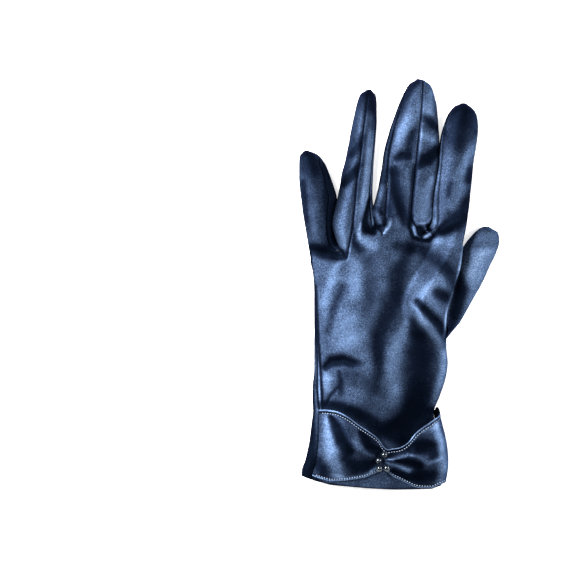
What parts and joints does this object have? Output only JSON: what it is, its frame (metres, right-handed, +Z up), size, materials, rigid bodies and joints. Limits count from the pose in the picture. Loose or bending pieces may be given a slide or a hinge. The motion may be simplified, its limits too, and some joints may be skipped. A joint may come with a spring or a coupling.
{
  "type": "wrist length dress glove",
  "caption": "Left-hand wrist-length dress glove of dark satin, lying palm down, with a bow band pinched by beads across the cuff.",
  "frame": {"origin": "middle of the glove's footprint, on the surface it lies on", "axes": "+Y from the hem towards the fingertips, +Z up through the back of the hand, +X towards the thumb"},
  "size_m": [0.1124, 0.2296, 0.0185],
  "materials": {
    "satin": "dark navy satin with a soft sheen",
    "band_satin": "dark navy satin with a brighter sheen, topstitched edges",
    "bead": "polished, nearly black"
  },
  "bodies": {
    "root": {"back_panel": "satin", "palm_panel": "satin", "thumb": "satin", "fourchette_little_ring": "satin", "fourchette_ring_middle": "satin", "fourchette_middle_index": "satin", "bow_band": "band_satin", "bead_1": "bead", "bead_2": "bead", "bead_3": "bead", "bead_4": "bead"}
  },
  "joints": []
}
